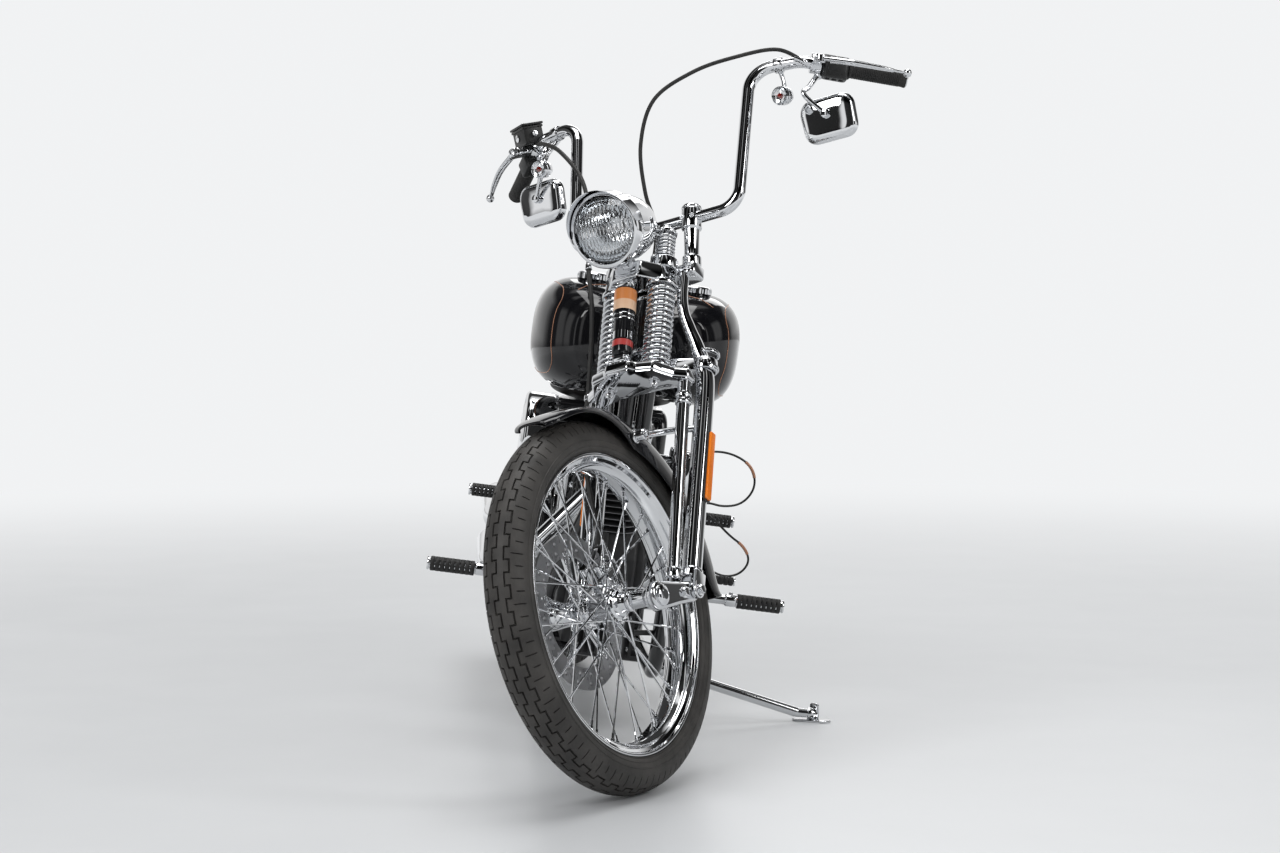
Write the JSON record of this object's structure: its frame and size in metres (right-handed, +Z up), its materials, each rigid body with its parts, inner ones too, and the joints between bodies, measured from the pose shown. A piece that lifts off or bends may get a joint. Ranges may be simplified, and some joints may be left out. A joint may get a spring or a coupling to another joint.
{
  "type": "chopper motorcycle",
  "caption": "Black and chrome chopper motorcycle with a springer fork, laced wheels, raised handlebar and side stand, parked with its fork turned.",
  "frame": {"origin": "bounding box bottom centre of the parked motorcycle", "axes": "+X to the rider's left, +Y to the rear, +Z up; the front points along -Y; the motorcycle leans on its side stand"},
  "size_m": [0.9716, 2.2941, 1.3961],
  "materials": {
    "black_paint": "gloss",
    "frame_paint": "gloss",
    "chrome": "polished",
    "steel": "brushed",
    "engine_black": "satin",
    "alloy": "satin",
    "black_plastic": "matt",
    "rubber": "matt",
    "tyre": "matt",
    "seat_leather": "satin",
    "clear_glass": "clear",
    "amber_lens": "gloss"
  },
  "bodies": {
    "chassis": {"air_cleaner": "chrome", "cam_cover": "chrome", "cylinders": "engine_black", "drive_belt": "rubber", "engine_case": "engine_black", "exhaust": "chrome", "fender_struts": "chrome", "foot_controls": "chrome", "foot_pegs": "rubber", "frame": "frame_paint", "fuel_tanks": "black_paint", "horn_cover": "chrome", "loose_wire_lower": "rubber", "loose_wire_upper": "rubber", "number_plate": "steel", "oil_tank": "black_paint", "pillion": "seat_leather", "primary_cover": "chrome", "rear_caliper": "chrome", "rear_fender": "black_paint", "regulator": "engine_black", "rocker_boxes": "chrome", "seat": "seat_leather", "swing_arm": "frame_paint", "tail_lamp": "amber_lens", "tank_console": "chrome"},
    "fork": {"fork_rear_legs": "chrome", "fork_upper_tree": "chrome", "fork_lower_tree": "chrome", "spring_fork": "chrome", "fork_springs": "chrome", "fork_shock": "chrome", "rockers": "chrome", "front_caliper": "chrome", "front_fender": "black_paint", "fork_reflectors": "amber_lens", "headlamp_shell": "chrome", "headlamp_lens": "clear_glass", "handlebar": "chrome", "risers": "chrome", "grips": "rubber", "hand_controls": "black_plastic", "hand_levers": "chrome", "mirrors": "chrome", "bar_lamps": "chrome", "bar_lamp_lenses": "amber_lens", "control_cables": "rubber"},
    "front_wheel": {"front_tyre": "tyre", "front_rim": "chrome", "front_hub": "chrome", "front_disc": "steel"},
    "rear_wheel": {"rear_tyre": "tyre", "rear_rim": "chrome", "rear_hub": "chrome", "rear_disc": "steel", "rear_pulley": "alloy"},
    "stand": {"side_stand": "chrome"}
  },
  "joints": [
    {"name": "steering", "type": "hinge", "parent": "chassis", "child": "fork", "pos_m": [-0.16115, -0.9985, -0.00304], "axis": [0.1125, 0.5282, 0.8416], "range_deg": [0, 79.2]},
    {"name": "front_wheel_spin", "type": "hinge", "parent": "fork", "child": "front_wheel", "pos_m": [-0.15879, -0.84912, 0.33779], "axis": [0.8085, -0.541, 0.2315], "continuous": true},
    {"name": "rear_wheel_spin", "type": "hinge", "parent": "chassis", "child": "rear_wheel", "pos_m": [-0.11806, 0.77384, 0.32271], "axis": [0.9912, 0.0003, -0.1326], "continuous": true},
    {"name": "side_stand_fold", "type": "hinge", "parent": "chassis", "child": "stand", "pos_m": [0.00879, -0.11974, 0.11525], "axis": [0.3805, 0.0801, 0.9213], "range_deg": [0, 85]}
  ]
}
